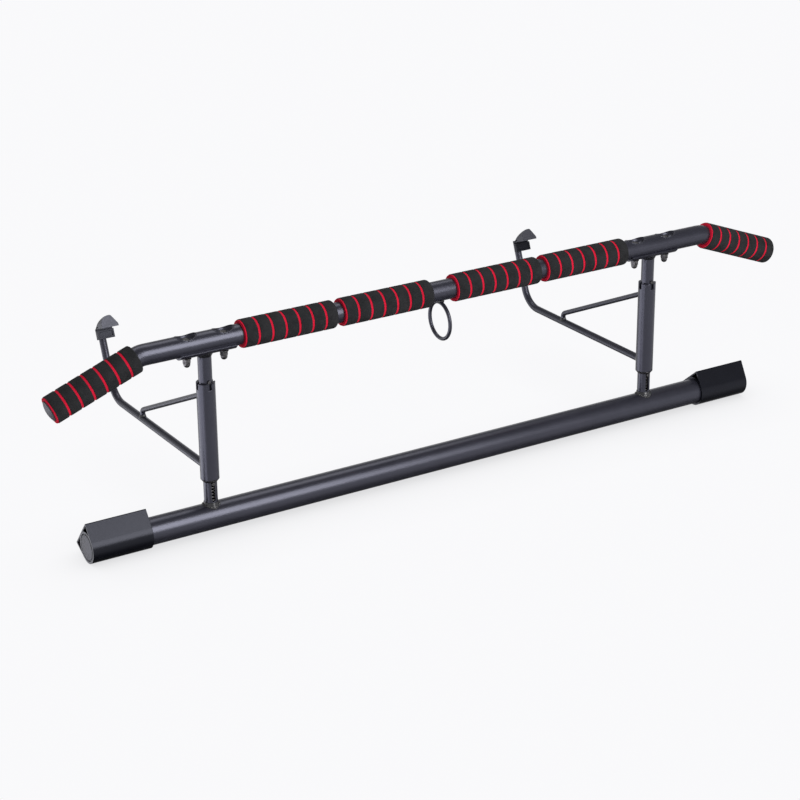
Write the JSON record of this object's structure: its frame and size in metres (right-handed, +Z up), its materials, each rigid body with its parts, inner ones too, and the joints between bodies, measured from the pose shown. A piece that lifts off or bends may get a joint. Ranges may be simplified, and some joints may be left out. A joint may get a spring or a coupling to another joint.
{
  "type": "pull up bar",
  "caption": "Doorway pull up bar with a foam-gripped bent upper bar on two posts, a padded lower tube and folding hook arms.",
  "frame": {"origin": "centre of the bottom of the whole bar's box, under the door pads' level", "axes": "+X along the bars to the right, +Y towards the wall that the hooks reach over, +Z up"},
  "size_m": [1.0936, 0.3526, 0.2729],
  "materials": {
    "charcoal_paint": "satin charcoal paint on steel tube",
    "weld_metal": "painted weld bead",
    "plated_steel": "dark plated steel fasteners, pins and springs",
    "black_foam": "closed-cell black foam",
    "red_foam": "closed-cell red foam",
    "black_rubber": "moulded black rubber",
    "dark_plastic": "moulded dark grey plastic",
    "grey_plastic": "moulded grey plastic"
  },
  "bodies": {
    "frame": {"lower_tube": "charcoal_paint", "upper_bar": "charcoal_paint", "hanging_ring": "charcoal_paint", "ring_weld": "weld_metal", "left_outer_grip_foam": "black_foam", "left_outer_grip_liner": "red_foam", "left_inner_grip_foam": "black_foam", "left_inner_grip_liner": "red_foam", "right_inner_grip_foam": "black_foam", "right_inner_grip_liner": "red_foam", "right_outer_grip_foam": "black_foam", "right_outer_grip_liner": "red_foam", "left_end_grip_foam": "black_foam", "left_end_grip_liner": "red_foam", "right_end_grip_foam": "black_foam", "right_end_grip_liner": "red_foam", "left_lower_plug": "grey_plastic", "left_post": "charcoal_paint", "left_post_welds": "weld_metal", "left_bar_plug": "grey_plastic", "left_saddle_plate": "charcoal_paint", "left_saddle_bolts": "plated_steel", "left_saddle_washers": "plated_steel", "left_acorn_nuts": "plated_steel", "left_lock_pin": "plated_steel", "left_lift_spring": "plated_steel", "right_lower_plug": "grey_plastic", "right_post": "charcoal_paint", "right_post_welds": "weld_metal", "right_bar_plug": "grey_plastic", "right_saddle_plate": "charcoal_paint", "right_saddle_bolts": "plated_steel", "right_saddle_washers": "plated_steel", "right_acorn_nuts": "plated_steel", "right_lock_pin": "plated_steel", "right_lift_spring": "plated_steel"},
    "left_pad": {"left_door_pad": "black_rubber"},
    "left_lift": {"left_lift_pin": "plated_steel", "left_lift_collar": "plated_steel"},
    "left_arm": {"left_sleeve": "charcoal_paint", "left_arm": "charcoal_paint", "left_brace": "charcoal_paint", "left_arm_welds": "weld_metal", "left_hook_bracket": "charcoal_paint", "left_hook_hood": "dark_plastic", "left_hook_pad": "black_rubber"},
    "right_pad": {"right_door_pad": "black_rubber"},
    "right_lift": {"right_lift_pin": "plated_steel", "right_lift_collar": "plated_steel"},
    "right_arm": {"right_sleeve": "charcoal_paint", "right_arm": "charcoal_paint", "right_brace": "charcoal_paint", "right_arm_welds": "weld_metal", "right_hook_bracket": "charcoal_paint", "right_hook_hood": "dark_plastic", "right_hook_pad": "black_rubber"}
  },
  "joints": [
    {"name": "left_pad_swivel", "type": "hinge", "parent": "frame", "child": "left_pad", "pos_m": [-0.46513, -0.14634, 0.02035], "axis": [1, 0, 0], "range_deg": [-60, 60]},
    {"name": "left_sleeve_slide", "type": "slide", "parent": "frame", "child": "left_lift", "axis": [0, 0, 1], "range_m": [-0.006, 0.0078], "stiffness_N_per_m": 2000, "springref_m": 0.0026, "deforming": ["left_lift_spring"]},
    {"name": "left_arm_fold", "type": "hinge", "parent": "left_lift", "child": "left_arm", "pos_m": [-0.33588, -0.14634, 0.02035], "axis": [0, 0, -1], "range_deg": [0, 90]},
    {"name": "right_pad_swivel", "type": "hinge", "parent": "frame", "child": "right_pad", "pos_m": [0.46537, -0.14634, 0.02035], "axis": [1, 0, 0], "range_deg": [-60, 60]},
    {"name": "right_sleeve_slide", "type": "slide", "parent": "frame", "child": "right_lift", "axis": [0, 0, 1], "range_m": [-0.006, 0.0078], "stiffness_N_per_m": 2000, "springref_m": 0.0026, "deforming": ["right_lift_spring"]},
    {"name": "right_arm_fold", "type": "hinge", "parent": "right_lift", "child": "right_arm", "pos_m": [0.33612, -0.14634, 0.02035], "axis": [0, 0, 1], "range_deg": [0, 90]}
  ]
}
